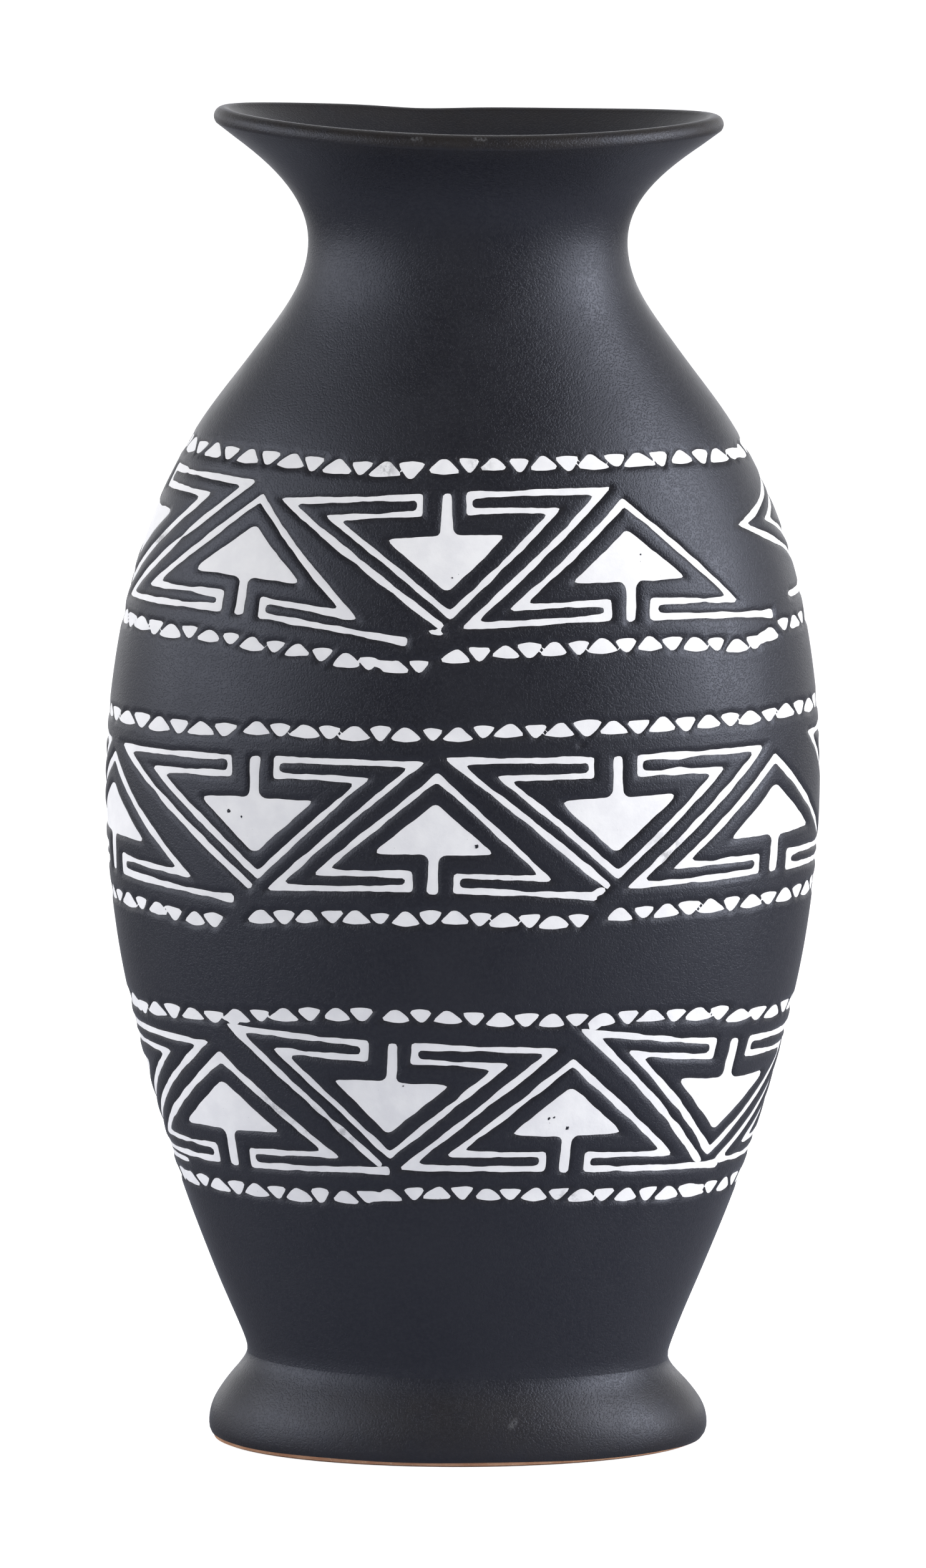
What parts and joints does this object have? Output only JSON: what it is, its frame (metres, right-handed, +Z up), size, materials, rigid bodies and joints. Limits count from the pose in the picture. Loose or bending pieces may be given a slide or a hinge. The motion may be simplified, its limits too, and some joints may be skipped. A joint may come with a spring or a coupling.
{
  "type": "vase",
  "caption": "Oval footed pottery vase with a full belly, narrow neck and trumpet mouth, black glazed, with three bands of white stepped-fret and arrow figures.",
  "frame": {"origin": "centre of the sole, at the bottom of the foot, midway along its width and depth", "axes": "+Z up along the vase's axis, X along the wide side of the oval, and the front faces -Y"},
  "size_m": [0.1785, 0.107, 0.3349],
  "materials": {
    "black_glaze": "satin black glaze with fine pitting",
    "white_slip": "matt off-white slip",
    "terracotta": "bare fired clay"
  },
  "bodies": {
    "root": {"foot_ring": "black_glaze", "base_floor": "terracotta", "lower_body": "black_glaze", "upper_body": "black_glaze", "neck": "black_glaze", "rim": "black_glaze", "fret_1_1": "white_slip", "arrow_down_1_1": "white_slip", "arrow_up_1_1": "white_slip", "fret_1_2": "white_slip", "arrow_down_1_2": "white_slip", "arrow_up_1_2": "white_slip", "fret_1_3": "white_slip", "arrow_down_1_3": "white_slip", "arrow_up_1_3": "white_slip", "fret_1_4": "white_slip", "arrow_down_1_4": "white_slip", "arrow_up_1_4": "white_slip", "teeth_1_lower": "white_slip", "teeth_1_upper": "white_slip", "fret_2_1": "white_slip", "arrow_down_2_1": "white_slip", "arrow_up_2_1": "white_slip", "fret_2_2": "white_slip", "arrow_down_2_2": "white_slip", "arrow_up_2_2": "white_slip", "fret_2_3": "white_slip", "arrow_down_2_3": "white_slip", "arrow_up_2_3": "white_slip", "fret_2_4": "white_slip", "arrow_down_2_4": "white_slip", "arrow_up_2_4": "white_slip", "fret_2_5": "white_slip", "arrow_down_2_5": "white_slip", "arrow_up_2_5": "white_slip", "teeth_2_lower": "white_slip", "teeth_2_upper": "white_slip", "fret_3_1": "white_slip", "arrow_down_3_1": "white_slip", "arrow_up_3_1": "white_slip", "fret_3_2": "white_slip", "arrow_down_3_2": "white_slip", "arrow_up_3_2": "white_slip", "fret_3_3": "white_slip", "arrow_down_3_3": "white_slip", "arrow_up_3_3": "white_slip", "fret_3_4": "white_slip", "arrow_down_3_4": "white_slip", "arrow_up_3_4": "white_slip", "teeth_3_lower": "white_slip", "teeth_3_upper": "white_slip"}
  },
  "joints": []
}
